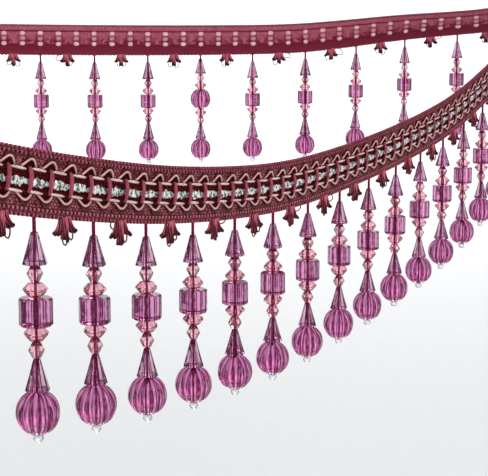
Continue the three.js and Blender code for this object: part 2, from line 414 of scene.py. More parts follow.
def show(mesh: bpy.types.Mesh, name: str, stands_for: Sequence[str] = ()) -> bpy.types.Object:
    """Put a mesh into the scene as a piece of the trim.

    Args:
        mesh: The mesh to show.
        name: The piece's name.
        stands_for: The CAD nodes that the piece replaces.

    Returns:
        The new object, riding on the trim's body.
    """
    piece = add_object(name, mesh)
    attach(piece, BODY)
    if stands_for:
        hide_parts(*stands_for)
    LOG.info("%s: %d faces", name, len(mesh.polygons))
    return piece


# Shader nodes

Feed = bpy.types.NodeSocket | float | tuple


class NodeSheet:
    """Adds nodes to one node tree and links them."""

    def __init__(self, tree: bpy.types.NodeTree) -> None:
        """Keep the tree that the nodes go into."""
        self.tree = tree

    def feed(self, socket: bpy.types.NodeSocket, value: Feed) -> None:
        """Link a socket to another one, or set its plain value.

        Args:
            socket: The input to feed.
            value: An output to link, or a plain value.
        """
        if isinstance(value, bpy.types.NodeSocket):
            self.tree.links.new(value, socket)
        else:
            socket.default_value = value

    def add(
        self, kind: str, feeds: dict[str | int, Feed] | None = None, **settings: object
    ) -> bpy.types.Node:
        """Add a node.

        Args:
            kind: The node's type name.
            feeds: What goes into its inputs, by name or number.
            settings: Values of the node's own properties.

        Returns:
            The new node.
        """
        node = self.tree.nodes.new(kind)
        for key, value in settings.items():
            setattr(node, key, value)
        for key, value in (feeds or {}).items():
            self.feed(node.inputs[key], value)
        return node

    def math(self, operation: str, *values: Feed) -> bpy.types.NodeSocket:
        """Add a math node and give its result."""
        return self.add("ShaderNodeMath", dict(enumerate(values)), operation=operation).outputs[0]

    def mix(self, share: Feed, first: Feed, second: Feed, blend: str = "MIX") -> bpy.types.NodeSocket:
        """Add a colour mix and give its result."""
        feeds = {0: share, 6: first, 7: second}
        return self.add("ShaderNodeMix", feeds, data_type="RGBA", blend_type=blend).outputs[2]

    def noise(self, vector: Feed, scale: float, detail: float = 2.0) -> bpy.types.NodeSocket:
        """Add a noise texture and give its value."""
        feeds = {"Vector": vector, "Scale": scale, "Detail": detail}
        return self.add("ShaderNodeTexNoise", feeds).outputs[0]

    def step(
        self, value: Feed, low: float, high: float, bottom: float = 0.0, top: float = 1.0
    ) -> bpy.types.NodeSocket:
        """Map a range of a value smoothly onto another one.

        Args:
            value: The value to map.
            low: Start of its range.
            high: End of its range.
            bottom: Result at the start.
            top: Result at the end.

        Returns:
            The mapped value.
        """
        feeds = {"Value": value, "From Min": low, "From Max": high, "To Min": bottom, "To Max": top}
        return self.add("ShaderNodeMapRange", feeds, interpolation_type="SMOOTHSTEP").outputs[0]

    def band(self, value: Feed, low: float, high: float, soft: float) -> bpy.types.NodeSocket:
        """Mark where a value lies between two limits.

        Args:
            value: The value to test.
            low: The lower limit.
            high: The upper limit.
            soft: The width of the soft edge at each limit.

        Returns:
            A mask that is 1 between the limits.
        """
        rise = self.step(value, low - soft / 2, low + soft / 2)
        fall = self.step(value, high - soft / 2, high + soft / 2)
        return self.math("SUBTRACT", rise, fall)

    def ridge(self, phase: Feed, sharp: Feed) -> bpy.types.NodeSocket:
        """Give a row of rounded ridges, one for each whole step of a phase."""
        wave = self.math("ABSOLUTE", self.math("SINE", self.math("MULTIPLY", phase, math.pi)))
        return self.math("POWER", wave, sharp)

    def thread(self) -> bpy.types.NodeSocket:
        """Read the thread coordinates of the mesh."""
        return self.add("ShaderNodeAttribute", attribute_name="thread").outputs["Vector"]

    def split(self, vector: Feed) -> tuple[bpy.types.NodeSocket, ...]:
        """Split a vector into its three values."""
        return tuple(self.add("ShaderNodeSeparateXYZ", {0: vector}).outputs)

    def position(self) -> bpy.types.NodeSocket:
        """Give the place on the piece in metres."""
        return self.add("ShaderNodeTexCoord").outputs["Object"]

    def bump(self, shader: bpy.types.Node, height: Feed, distance: float, strength: float) -> None:
        """Raise a shader's surface by a height, over a distance in metres."""
        feeds = {"Height": height, "Distance": distance, "Strength": strength}
        self.feed(shader.inputs["Normal"], self.add("ShaderNodeBump", feeds).outputs[0])


class ShaderGroup:
    """A shader node group that is built once and placed in each material that uses it."""

    name = ""
    takes: dict[str, tuple[str, float | None]] = {}
    gives: tuple[str, ...] = ()

    def wire(self, sheet: NodeSheet, given: bpy.types.Node) -> dict[str, Feed]:
        """Wire the group's inside and say what each output shows."""
        raise NotImplementedError

    def tree(self) -> bpy.types.NodeTree:
        """Build the group, or find it if it is there already.

        Returns:
            The group's node tree.
        """
        found = bpy.data.node_groups.get(self.name)
        if found:
            return found
        tree = bpy.data.node_groups.new(self.name, "ShaderNodeTree")
        for name, (kind, value) in self.takes.items():
            socket = tree.interface.new_socket(name=name, in_out="INPUT", socket_type=kind)
            if value is not None:
                socket.default_value = value
        for name in self.gives:
            tree.interface.new_socket(name=name, in_out="OUTPUT", socket_type="NodeSocketFloat")
        sheet = NodeSheet(tree)
        shown = self.wire(sheet, sheet.add("NodeGroupInput"))
        sheet.add("NodeGroupOutput", shown)
        return tree

    def put(self, sheet: NodeSheet, feeds: dict[str, Feed]) -> bpy.types.Node:
        """Place the group in a material and feed its inputs by name."""
        return sheet.add("ShaderNodeGroup", feeds, node_tree=self.tree())


class TwistedThread(ShaderGroup):
    """Strands that wind round a cord, with fine fibres on them."""

    name = "twisted_thread"
    takes = {
        "Thread": ("NodeSocketVector", None),
        "Place": ("NodeSocketVector", None),
        "Strands": ("NodeSocketFloat", 3.0),
        "Pitch": ("NodeSocketFloat", 2.4),
        "Gap": ("NodeSocketFloat", 0.55),
    }
    gives = ("Height", "Shade", "Patch")
    fibre_scale = 5200.0
    patch_scale = 260.0

    def wire(self, sheet: NodeSheet, given: bpy.types.Node) -> dict[str, Feed]:
        """Wind the strands.

        Args:
            sheet: The group's node sheet.
            given: The group's input node.

        Returns:
            Height and shade of the strands, and a slow change of tone from patch to patch.
        """
        run, cosine, sine = sheet.split(given.outputs["Thread"])
        turn = sheet.math("DIVIDE", sheet.math("ARCTAN2", sine, cosine), 2 * math.pi)
        wound = sheet.math("MULTIPLY", turn, given.outputs["Strands"])
        phase = sheet.math("ADD", wound, sheet.math("DIVIDE", run, given.outputs["Pitch"]))
        ridge = sheet.ridge(phase, given.outputs["Gap"])
        fibre = sheet.noise(given.outputs["Place"], self.fibre_scale, 3.0)
        patch = sheet.noise(given.outputs["Place"], self.patch_scale, 2.0)
        height = sheet.math("ADD", ridge, sheet.math("MULTIPLY", fibre, 0.35))
        shade = sheet.math("MULTIPLY", ridge, sheet.math("ADD", fibre, 0.45))
        return {"Height": height, "Shade": shade, "Patch": sheet.step(patch, 0.3, 0.7)}


class WovenGround(ShaderGroup):
    """A closely woven ground: ribs across the trim, crossed by courses that lie over and under."""

    name = "woven_ground"
    takes = {
        "Thread": ("NodeSocketVector", None),
        "Rib": ("NodeSocketFloat", 1.05),
        "Course": ("NodeSocketFloat", 0.9),
    }
    gives = ("Height", "Shade", "Patch", "Speck")
    waver_scale = 0.7
    fibre_scale = 3.1
    patch_scale = 0.42
    speck_scale = 1.3

    def wire(self, sheet: NodeSheet, given: bpy.types.Node) -> dict[str, Feed]:
        """Weave the ground.

        Args:
            sheet: The group's node sheet.
            given: The group's input node.

        Returns:
            Height and shade of the yarns, patches where other yarns come up, and specks of lit fibre.
        """
        along, depth, _ = sheet.split(given.outputs["Thread"])
        waver = sheet.math("MULTIPLY", sheet.noise(given.outputs["Thread"], self.waver_scale), 2.2)
        course = sheet.math("DIVIDE", sheet.math("ADD", depth, waver), given.outputs["Course"])
        shift = sheet.math("MULTIPLY", sheet.math("MODULO", sheet.math("FLOOR", course), 2.0), 0.5)
        rib = sheet.math("ADD", sheet.math("DIVIDE", along, given.outputs["Rib"]), shift)
        crown = sheet.math("MULTIPLY", sheet.ridge(rib, 0.7), sheet.ridge(course, 0.7))
        fibre = sheet.noise(given.outputs["Thread"], self.fibre_scale, 3.0)
        patch = sheet.noise(given.outputs["Thread"], self.patch_scale, 3.0)
        speck = sheet.noise(given.outputs["Thread"], self.speck_scale)
        height = sheet.math("ADD", crown, sheet.math("MULTIPLY", fibre, 0.4))
        shade = sheet.math("ADD", sheet.math("MULTIPLY", crown, 0.75), sheet.math("MULTIPLY", fibre, 0.5))
        return {
            "Height": height,
            "Shade": sheet.step(shade, 0.25, 1.0),
            "Patch": sheet.step(patch, 0.42, 0.6),
            "Speck": sheet.step(speck, 0.58, 0.7),
        }


class MouldedAcrylic(ShaderGroup):
    """Faint flow lines, dust and tone changes on a moulded bead, and painted shade in lines along its cuts
    and end rings.
    """

    name = "moulded_acrylic"
    takes = {
        "Thread": ("NodeSocketVector", None),
        "Place": ("NodeSocketVector", None),
        "Reach": ("NodeSocketFloat", 0.7),
    }
    gives = ("Height", "Tone", "Gloss", "Cut")
    flow_scale = 420.0
    dust_scale = 2600.0
    cut_edge = 0.25

    def wire(self, sheet: NodeSheet, given: bpy.types.Node) -> dict[str, Feed]:
        """Draw the flow lines.

        Args:
            sheet: The group's node sheet.
            given: The group's input node.

        Returns:
            Height of the flow lines, tone of the acrylic, a value for its roughness, and a mask of painted
            shade along the cuts and end rings.
        """
        run, side, rim = sheet.split(given.outputs["Thread"])
        flow = sheet.noise(given.outputs["Place"], self.flow_scale)
        dust = sheet.noise(given.outputs["Place"], self.dust_scale, 3.0)
        tone = sheet.math("ADD", sheet.math("MULTIPLY", flow, 0.8), sheet.math("MULTIPLY", run, 0.002))
        gloss = sheet.step(dust, 0.35, 0.8, 0.015, 0.06)
        # Painted shade: dark lines along the facet edges, the melon's grooves and the end rings, broken up by
        # the flow lines.
        past = sheet.math("SUBTRACT", sheet.math("ABSOLUTE", side), given.outputs["Reach"])
        near = sheet.math("DIVIDE", past, self.cut_edge)
        cut = sheet.math("MAXIMUM", sheet.step(near, 0.0, 1.0), rim)
        cut = sheet.math("MULTIPLY", cut, sheet.step(flow, 0.25, 0.6, 0.55, 1.0))
        return {"Height": flow, "Tone": sheet.step(tone, 0.25, 0.7), "Gloss": gloss, "Cut": cut}


TWISTED = TwistedThread()
WOVEN = WovenGround()
ACRYLIC = MouldedAcrylic()


class Finish:
    """A finish, whose material is made once and shared by all the meshes that take it."""

    name: str

    def dress(self, sheet: NodeSheet, shader: bpy.types.Node) -> None:
        """Feed the shader of the finish's material."""
        raise NotImplementedError

    def material(self) -> bpy.types.Material:
        """Make the finish's material, or find it.

        Returns:
            The material.
        """
        found = bpy.data.materials.get(self.name)
        if found:
            return found
        material = bpy.data.materials.new(self.name)
        material.use_nodes = True
        self.dress(NodeSheet(material.node_tree), material.node_tree.nodes["Principled BSDF"])
        return material


def set_plain(shader: bpy.types.Node, values: dict[str, float | Colour]) -> None:
    """Set values that are the same all over on a shader's own sockets."""
    for name, value in values.items():
        shader.inputs[name].default_value = value


def dress_yarn(shader: bpy.types.Node, gloss: float, glow: Colour) -> None:
    """Set what is the same all over a yarn's surface.

    Args:
        shader: The yarn's shader.
        gloss: Its specular level.
        glow: The colour of the light that it throws back and that its fuzz catches.
    """
    fuzz = {"Sheen Weight": 0.03, "Sheen Roughness": 0.4, "Sheen Tint": glow}
    set_plain(shader, {"Specular IOR Level": gloss, "Specular Tint": glow} | fuzz)


@dataclass(frozen=True)
class ThreadFinish(Finish):
    """A satin or spun thread: its tones, twist, gloss and relief."""

    name: str
    dark: Colour
    light: Colour
    strands: float = 3.0
    pitch: float = 2.4
    roughness: float = 0.5
    gloss: float = 0.4
    relief: float = 0.2
    gap: float = 0.55
    cut_end: float = 0.0
    cut_tone: Colour = tint(38, 3, 10)

    def dress(self, sheet: NodeSheet, shader: bpy.types.Node) -> None:
        """Wind the strands and tone them, with painted shade in the gaps between the strands and lit tones on
        their crowns.

        Args:
            sheet: The material's node sheet.
            shader: Its shader.
        """
        thread = sheet.thread()
        feeds = {"Thread": thread, "Place": sheet.position(), "Strands": self.strands}
        wound = TWISTED.put(sheet, feeds | {"Pitch": self.pitch, "Gap": self.gap})
        patch = sheet.step(wound.outputs["Patch"], 0, 1, 0.8, 1.1)
        tone = sheet.math("MULTIPLY", wound.outputs["Shade"], patch)
        # Painted shade and light: the dark tone fills the gaps between strands and knots, the light tone
        # their crowns.
        colour = sheet.mix(sheet.step(tone, 0.15, 1.05), self.dark, self.light)
        if self.cut_end:
            left = sheet.split(thread)[0]
            colour = sheet.mix(sheet.step(left, -self.cut_end, -0.2, 0.0, 0.92), colour, self.cut_tone)
        sheet.feed(shader.inputs["Base Color"], colour)
        rough = sheet.step(wound.outputs["Height"], 0, 1.3, self.roughness + 0.2, self.roughness)
        sheet.feed(shader.inputs["Roughness"], rough)
        sheet.bump(shader, wound.outputs["Height"], self.relief * MM, 0.9)
        dress_yarn(shader, self.gloss, self.light)


@dataclass(frozen=True)
class Zone:
    """A band of colour along the heading: its limits and soft edge in mm below the top edge, and its tone."""

    top: float
    foot: float
    soft: float
    tone: Colour


@dataclass(frozen=True)
class HeadingFinish(Finish):
    """The woven heading: the tones of its yarns' crowns in each zone of the face and of the reverse."""

    name: str = "woven_heading"
    rib: float = 2.1
    course: float = 1.15
    reverse_rib: float = 2.8
    reverse_light: float = 0.4
    relief: float = 0.35
    shadow: Colour = (0.13, 0.02, 0.03, 1.0)
    selvedge: Colour = tint(138, 62, 76)
    mauve: Colour = tint(174, 98, 110)
    maroon: Colour = tint(92, 18, 30)
    speck: Colour = tint(210, 146, 152)
    # Painted shadow in the hollows that the looped cords frame.
    loop_shadow: Colour = tint(60, 6, 12)
    rose: Colour = tint(216, 122, 142)
    rose_patch: Colour = tint(158, 66, 88)
    line: Colour = tint(136, 38, 60)
    selvedges: tuple[Zone, ...] = (Zone(-1.0, 2.7, 0.4, selvedge), Zone(20.6, 30.0, 0.4, selvedge))
    channel: Zone = Zone(7.4, 16.0, 0.5, tint(104, 8, 22))
    reverse_zones: tuple[Zone, ...] = (
        Zone(15.2, 30.0, 1.6, tint(142, 50, 74)),
        Zone(4.9, 6.1, 0.8, line),
        Zone(15.8, 17.2, 0.8, line),
        Zone(21.4, 22.2, 0.6, rose_patch),
    )
    reverse_edge: Zone = Zone(-1.0, 1.6, 0.6, tint(138, 70, 88))

    def lay(self, sheet: NodeSheet, depth: Feed, ground: Feed, zones: Sequence[Zone]) -> bpy.types.NodeSocket:
        """Lay zones of colour over a ground.

        Args:
            sheet: The material's node sheet.
            depth: Millimetres below the top edge.
            ground: The colour under them.
            zones: The zones, in order.

        Returns:
            The colour with its zones.
        """
        for zone in zones:
            ground = sheet.mix(sheet.band(depth, zone.top, zone.foot, zone.soft), ground, zone.tone)
        return ground

    def face(self, sheet: NodeSheet, depth: Feed, along: Feed, woven: bpy.types.Node) -> bpy.types.NodeSocket:
        """Colour the face.

        Args:
            sheet: The material's node sheet.
            depth: Millimetres below the top edge.
            along: Millimetres along the trim.
            woven: The weave's node.

        Returns:
            The face's colour.
        """
        ground = sheet.mix(sheet.math("MULTIPLY", woven.outputs["Patch"], 0.8), self.mauve, self.maroon)
        ground = sheet.mix(sheet.math("MULTIPLY", woven.outputs["Speck"], 0.7), ground, self.speck)
        ground = self.lay(sheet, depth, ground, self.selvedges)
        # Paint the shadow that falls in the hollow inside each looped cord.
        for lobe in ScallopRow:
            ground = sheet.mix(lobe.loop_shadow_mask(sheet, depth, along), ground, self.loop_shadow)
        return self.lay(sheet, depth, ground, [self.channel])

    def reverse(
        self, sheet: NodeSheet, depth: Feed, along: Feed, woven: bpy.types.Node
    ) -> bpy.types.NodeSocket:
        """Colour the reverse.

        Args:
            sheet: The material's node sheet.
            depth: Millimetres below the top edge.
            along: Millimetres along the trim.
            woven: The weave's node.

        Returns:
            The reverse's colour.
        """
        patch = woven.outputs["Patch"]
        ground = sheet.mix(sheet.math("MULTIPLY", patch, 0.35), self.rose, self.rose_patch)
        low = sheet.band(depth, 11.5, 16.5, 3.0)
        ground = sheet.mix(sheet.math("MULTIPLY", low, patch), ground, self.line)
        cell = sheet.math("FRACT", sheet.math("DIVIDE", along, TrimSizes().cell))
        blotch = sheet.step(sheet.math("ABSOLUTE", sheet.math("SUBTRACT", cell, 0.5)), 0.1, 0.28)
        blotch = sheet.math("MULTIPLY", blotch, sheet.band(depth, 9.0, 15.6, 2.0))
        blotch = sheet.math("MULTIPLY", blotch, sheet.step(woven.outputs["Speck"], 0.0, 1.0, 0.55, 0.0))
        ground = sheet.mix(blotch, ground, self.line)
        ground = self.lay(sheet, depth, ground, self.reverse_zones)
        ribs = sheet.ridge(sheet.math("DIVIDE", along, self.reverse_rib), 0.6)
        ground = sheet.mix(sheet.step(ribs, 0.75, 0.1, 0.0, 0.5), ground, self.line)
        return self.lay(sheet, depth, ground, [self.reverse_edge])

    def dress(self, sheet: NodeSheet, shader: bpy.types.Node) -> None:
        """Weave the ground and colour its two sides.

        Args:
            sheet: The material's node sheet.
            shader: Its shader.
        """
        thread = sheet.thread()
        along, depth, side = sheet.split(thread)
        woven = WOVEN.put(sheet, {"Thread": thread, "Rib": self.rib, "Course": self.course})
        front = sheet.math("GREATER_THAN", side, 0.0)
        reverse = self.reverse(sheet, depth, along, woven)
        crown = sheet.mix(front, reverse, self.face(sheet, depth, along, woven))
        floor = sheet.step(front, 0.0, 1.0, self.reverse_light, 0.0)
        lit = sheet.math("MAXIMUM", woven.outputs["Shade"], floor)
        colour = sheet.mix(lit, sheet.mix(1.0, crown, self.shadow, "MULTIPLY"), crown)
        sheet.feed(shader.inputs["Base Color"], colour)
        sheet.feed(shader.inputs["Roughness"], sheet.step(woven.outputs["Height"], 0, 1.4, 0.9, 0.6))
        sheet.bump(shader, woven.outputs["Height"], self.relief * MM, 0.9)
        dress_yarn(shader, 0.2, self.mauve)


@dataclass(frozen=True)
class TinselFinish(Finish):
    """Crinkled metallic foil, with painted highlights and painted shade on its crinkles."""

    name: str = "silver_tinsel"
    bright: Colour = tint(252, 252, 250)
    foil_shade: Colour = tint(84, 92, 88)
    crinkle_scale: float = 620.0
    grain_scale: float = 3800.0
    relief: float = 0.6
    metal: float = 0.55

    def dress(self, sheet: NodeSheet, shader: bpy.types.Node) -> None:
        """Crinkle the foil and paint highlights and shade on its crinkles.

        Args:
            sheet: The material's node sheet.
            shader: Its shader.
        """
        place = sheet.position()
        crinkle = sheet.noise(place, self.crinkle_scale, 3.0)
        grain = sheet.noise(place, self.grain_scale, 2.0)
        # Painted highlights and painted shade: the crinkle noise picks bright and dark patches of the foil's
        # colour.
        colour = sheet.mix(sheet.step(crinkle, 0.42, 0.54), self.foil_shade, self.bright)
        sheet.feed(shader.inputs["Base Color"], colour)
        sheet.feed(shader.inputs["Roughness"], sheet.step(grain, 0.3, 0.7, 0.25, 0.5))
        sheet.bump(shader, crinkle, self.relief * MM, 0.8)
        set_plain(shader, {"Metallic": self.metal})


@dataclass(frozen=True)
class AcrylicFinish(Finish):
    """Clear moulded acrylic: the tones of its surface, painted shade along its cuts and round its outline,
    and what its body holds back of the light.
    """

    name: str
    pale: Colour
    deep: Colour
    # The colour of the painted shade along the cuts and round the outline.
    cut: Colour
    body: Colour
    density: float
    reach: float
    glint: Colour = (1.0, 1.0, 1.0, 1.0)
    # How dark the painted shade grows where the bead is seen edge-on.
    rim: float = 0.8
    clear: float = 1.0
    bending: float = 1.49
    relief: float = 0.08

    def dress(self, sheet: NodeSheet, shader: bpy.types.Node) -> None:
        """Tone the surface, paint shade along its cuts and where it is seen edge-on, and fill the body with
        colour.

        Args:
            sheet: The material's node sheet.
            shader: Its shader.
        """
        feeds = {"Thread": sheet.thread(), "Place": sheet.position(), "Reach": self.reach}
        moulded = ACRYLIC.put(sheet, feeds)
        surface = sheet.mix(moulded.outputs["Tone"], self.pale, self.deep)
        # Painted shade: the bead darkens towards its cut colour where its surface is seen edge-on.
        edgewise = sheet.add("ShaderNodeLayerWeight", {"Blend": 0.5}).outputs["Facing"]
        edge_on_shade = sheet.step(edgewise, 0.5, 0.97, 0.0, self.rim)
        deep = sheet.math("MAXIMUM", moulded.outputs["Cut"], edge_on_shade)
        sheet.feed(shader.inputs["Base Color"], sheet.mix(deep, surface, self.cut))
        sheet.feed(shader.inputs["Roughness"], moulded.outputs["Gloss"])
        sheet.bump(shader, moulded.outputs["Height"], self.relief * MM, 0.4)
        glass = {"Transmission Weight": self.clear, "Metallic": 0.0, "IOR": self.bending}
        set_plain(shader, glass | {"Specular Tint": self.glint})
        depth = sheet.add("ShaderNodeVolumeAbsorption", {"Color": self.body, "Density": self.density})
        sheet.feed(sheet.tree.nodes["Material Output"].inputs["Volume"], depth.outputs[0])


# The heading


@dataclass(frozen=True)
class Scallop:
    """A loop's start, apex and end in cells from the bar, and its root and reach in mm of depth."""

    first: float
    apex: float
    last: float
    root: float
    reach: float


class ScallopRow(Enum):
    """The two rows of looped cord."""

    UPPER = Scallop(-0.37, 0.08, 0.33, 7.0, 4.1)
    LOWER = Scallop(-0.55, -0.15, 0.2, 16.0, 18.6)

    @property
    def cell(self) -> float:
        """Give the length of a ladder cell in mm."""
        return TrimSizes().cell

    def line(self, steps: int) -> tuple[np.ndarray, np.ndarray]:
        """Trace one loop.

        Args:
            steps: Number of points on it.

        Returns:
            Offsets along the trim from the bar, and depths, in mm.
        """
        first, apex, last, root, reach = astuple(self.value)
        t = np.linspace(0, 1, steps)
        peak = (apex - first) / (last - first)
        rise = np.where(t < peak, t / peak, (1 - t) / (1 - peak))
        depth = root + (reach - root) * np.sin(rise * math.pi / 2) ** np.where(t < peak, 1.15, 0.8)
        return (first + (last - first) * t) * self.cell, depth

    def loop_shadow_mask(self, sheet: NodeSheet, depth: Feed, along: Feed) -> bpy.types.NodeSocket:
        """Mark the painted shadow in the hollow that each loop frames.

        Args:
            sheet: The material's node sheet.
            depth: Millimetres below the top edge.
            along: Millimetres along the trim.

        Returns:
            A mask that is 1 inside the loops.
        """
        first, apex, last, root, reach = astuple(self.value)
        middle = (first + last) / 2 * 0.4 + apex * 0.6
        half = (last - first) / 2
        cells = sheet.math("ADD", sheet.math("DIVIDE", along, self.cell), 0.5 - middle + 1.5)
        offset = sheet.math("DIVIDE", sheet.math("SUBTRACT", sheet.math("FRACT", cells), 0.5), half)
        bow = sheet.math("SUBTRACT", 1.0, sheet.math("MULTIPLY", offset, offset))
        level = sheet.math("DIVIDE", sheet.math("SUBTRACT", depth, root), reach - root)
        gap = sheet.math("SUBTRACT", bow, level)
        inside = sheet.step(gap, 0.08, 0.3)
        return sheet.math("MULTIPLY", inside, sheet.step(level, -0.35, -0.1))


@dataclass(frozen=True)
class LoopedCord:
    """A cord of a loop, in mm: how far along and outside the first it lies, its radius and how far below."""

    shift: float
    gap: float
    radius: float
    below: float


@dataclass(frozen=True)
class PicotRow:
    """A row of small knots along the heading: its place, waist and swell in mm, and its slot."""

    depth: float
    out: float
    waist: float
    swell: float
    slot: int


@dataclass(frozen=True)
class Heading:
    """The woven heading and everything laid on it. Sizes in mm."""

    path: HungPath
    cloth_step: float = 1.05
    cloth_top: float = 0.7
    cloth_short: float = 0.8
    back: float = -0.8
    ripple: float = 0.12
    ripple_length: float = 4.2
    channel_middle: float = 11.8
    bar_half_wide: float = 1.35
    bar_top: float = 7.0
    bar_foot: float = 16.0
    rail_top: float = 7.7
    rail_foot: float = 15.6
    bar_half_high: float = 0.5
    bar_out: float = 1.25
    bar_rise: float = 0.95
    rib: float = 2.8
    picot_step: float = 0.467
    tinsel_step: float = 0.8
    tinsel_half_high: float = 0.5
    tinsel_half_wide: float = 1.75
    ladder_seed: int = 11
    tinsel_seed: int = 7
    stitch_seed: int = 5
    loop_out: float = 1.25
    loop_cords: tuple[LoopedCord, ...] = (
        LoopedCord(0.0, 0.0, 0.46, 0.0),
        LoopedCord(0.5, 1.0, 0.55, 0.35),
        LoopedCord(0.9, 1.75, 0.17, 0.1),
    )
    stitch_rows: tuple[tuple[float, int], ...] = ((7.1, 0), (11.2, 1), (15.3, 0))
    picots: tuple[PicotRow, ...] = (
        PicotRow(0.85, -0.05, 0.05, 0.85, 0),
        PicotRow(2.3, 0.6, 0.1, 0.6, 0),
        PicotRow(21.6, 0.55, 0.1, 0.6, 1),
        PicotRow(23.5, -0.05, 0.05, 0.95, 0),
    )

    @property
    def sizes(self) -> TrimSizes:
        """Give the sizes that the whole trim shares."""
        return self.path.sizes

    def bars(self) -> np.ndarray:
        """Give the places of the ladder's bars, in mm along."""
        cells = round(self.sizes.length / self.sizes.cell)
        return self.sizes.start + np.arange(cells + 1) * self.sizes.cell

    def front_profile(self, depth: np.ndarray) -> np.ndarray:
        """Give how far the face lies in front of the middle surface at each depth."""
        knots = [0, 2.4, 2.9, 6.8, 7.2, 8.3, 8.8, 14.8, 15.3, 16.4, 16.9, 20.6, 21.0, 24.4]
        outs = [0.5, 0.6, 0.4, 0.5, 1.0, 1.0, 0.1, 0.1, 1.0, 1.0, 0.5, 0.4, 0.6, 0.5]
        return np.interp(depth, knots, outs)

    def cloth(self) -> bpy.types.Object:
        """Weave the heading's sheet.

        Returns:
            The sheet.
        """
        start, end = self.path.ends
        foot = self.sizes.foot - self.cloth_short
        columns = np.linspace(start, end, round((end - start) / self.cloth_step) + 1)
        spans = ((self.cloth_top, 2.6, 4), (3.0, 20.6, 24), (21.1, foot, 4))
        front_depth = np.concatenate([np.linspace(*span) for span in spans])
        back_depth = np.linspace(foot, self.cloth_top, 18)
        depth = np.concatenate([front_depth, back_depth])
        out = np.concatenate([self.front_profile(front_depth), np.full(len(back_depth), self.back)])
        side = np.concatenate([np.ones(len(front_depth)), -np.ones(len(back_depth))])
        grid_along, grid_depth = np.meshgrid(columns, depth, indexing="ij")
        ripple = self.ripple * np.sin(grid_along * 2 * math.pi / self.ripple_length) * side
        points = self.path.place(grid_along, out + ripple, grid_depth)
        marks = np.stack([grid_along, grid_depth, np.broadcast_to(side, grid_along.shape)], axis=-1)
        pile = MeshPile()
        pile.add_loops(points, marks)
        return pile.show("heading_cloth", "heading_yarn", [HeadingFinish()], ["heading_band"])

    def selvedges(self) -> bpy.types.Object:
        """Knot the rows of picots along the top, the foot and the face of the heading.

        Returns:
            The rows as one piece with two materials.
        """
        start, end = self.path.ends
        along = np.linspace(start, end, round((end - start) / self.picot_step) + 1)
        knot = np.abs(np.sin(along * math.pi / self.rib)) ** 0.8
        pile = MeshPile()
        for row in self.picots:
            centres, normals = self.path.line(along, row.out, row.depth)
            radius = row.waist + row.swell * knot
            pile.add_tube(centres, normals, radius, radius, sides=6, slot=row.slot, run=along)
        twist = {"strands": 0, "pitch": self.rib, "roughness": 0.7, "gap": 1.5}
        edge = ThreadFinish("picot_yarn", tint(30, 1, 7), tint(176, 92, 108), gloss=0.15, **twist)
        pink = ThreadFinish("pink_picot_yarn", tint(34, 2, 9), tint(196, 116, 128), gloss=0.2, **twist)
        return pile.show("selvedge_picots", "heading_yarn", [edge, pink])

    def scallops(self) -> bpy.types.Object:
        """Lay the looped cords above and below the ladder: a pink one, a dark one and a fine thread.

        Returns:
            The loops as one piece with three materials.
        """
        pink = ThreadFinish(
            "pink_gimp_cord", tint(178, 96, 104), tint(250, 202, 198),
            pitch=1.1, roughness=0.35, gloss=0.5, relief=0.15,
        )
        dark = ThreadFinish(
            "dark_gimp_cord", tint(28, 3, 10), tint(92, 22, 38), pitch=1.2, gloss=0.3, relief=0.15
        )
        fine = ThreadFinish(
            "olive_thread", tint(48, 20, 22), tint(112, 74, 66), strands=2, pitch=0.8, gloss=0.3, relief=0.05
        )
        pile = MeshPile()
        start, end = self.path.ends
        for row in ScallopRow:
            offset, depth = row.line(15)
            outward = np.sign(row.value.reach - row.value.root)
            lift = self.loop_out - 0.5 * np.abs(np.linspace(-1, 1, len(offset))) ** 3
            rise = np.sin(np.linspace(0.15, 1, len(offset)) * math.pi * 0.96)
            for bar in self.bars():
                if bar + offset[0] < start or bar + offset[-1] > end:
                    continue
                for slot, cord in enumerate(self.loop_cords):
                    level = depth + outward * cord.gap * rise
                    centres, normals = self.path.line(bar + offset + cord.shift, lift - cord.below, level)
                    pile.add_tube(centres, normals, cord.radius, cord.radius, sides=6, slot=slot)
        return pile.show("scalloped_cords", "gimp_satin", [pink, dark, fine])

    def ladder(self) -> bpy.types.Object:
        """Lay the satin bars over the channel and the cream rails between them.

        Returns:
            The ladder as one piece with two materials.
        """
        rose = ThreadFinish(
            "rose_satin_bar", tint(92, 14, 32), tint(184, 84, 104),
            strands=9, pitch=60, roughness=0.38, gloss=0.5,
        )
        cream = ThreadFinish(
            "cream_rail_thread", tint(160, 96, 98), tint(255, 236, 226),
            pitch=1.6, roughness=0.3, gloss=0.5, relief=0.15,
        )
        pile = MeshPile()
        chance = random.Random(self.ladder_seed)
        steps = np.linspace(0, 1, 11)
        for bar in self.bars():
            bow = chance.uniform(-0.35, 0.35)
            tilt = chance.uniform(-0.4, 0.4)
            along = bar + bow * np.sin(steps * math.pi) + tilt * (steps - 0.5)
            depth = self.bar_top + (self.bar_foot - self.bar_top) * steps
            out = self.bar_out + self.bar_rise * np.sin(steps * math.pi) ** 0.6
            centres, normals = self.path.line(along, out, depth)
            pinch = 0.8 + 0.2 * np.sin(steps * math.pi) ** 0.5
            pile.add_tube(
                centres, normals, self.bar_half_high * pinch, self.bar_half_wide * pinch, sides=10
            )
        share = np.linspace(0, 1, 9)
        bulge = np.sin(share * math.pi) ** 0.5
        for bar in self.bars()[:-1]:
            for depth, first, last in ((self.rail_top, 0.11, 0.8), (self.rail_foot, 0.02, 0.7)):
                along = bar + (first + (last - first + chance.uniform(-0.05, 0.05)) * share) * self.sizes.cell
                level = depth + 0.3 * (share - 0.3) + chance.uniform(-0.15, 0.15)
                centres, normals = self.path.line(along, 1.15 + 0.6 * bulge, level)
                taper = bulge * (1.1 - 0.35 * share)
                pile.add_tube(centres, normals, 0.3 + 0.3 * taper, 0.25 + 0.32 * taper, sides=8, slot=1)
        return pile.show("satin_ladder", "gimp_satin", [rose, cream], ["gimp_ladder"])

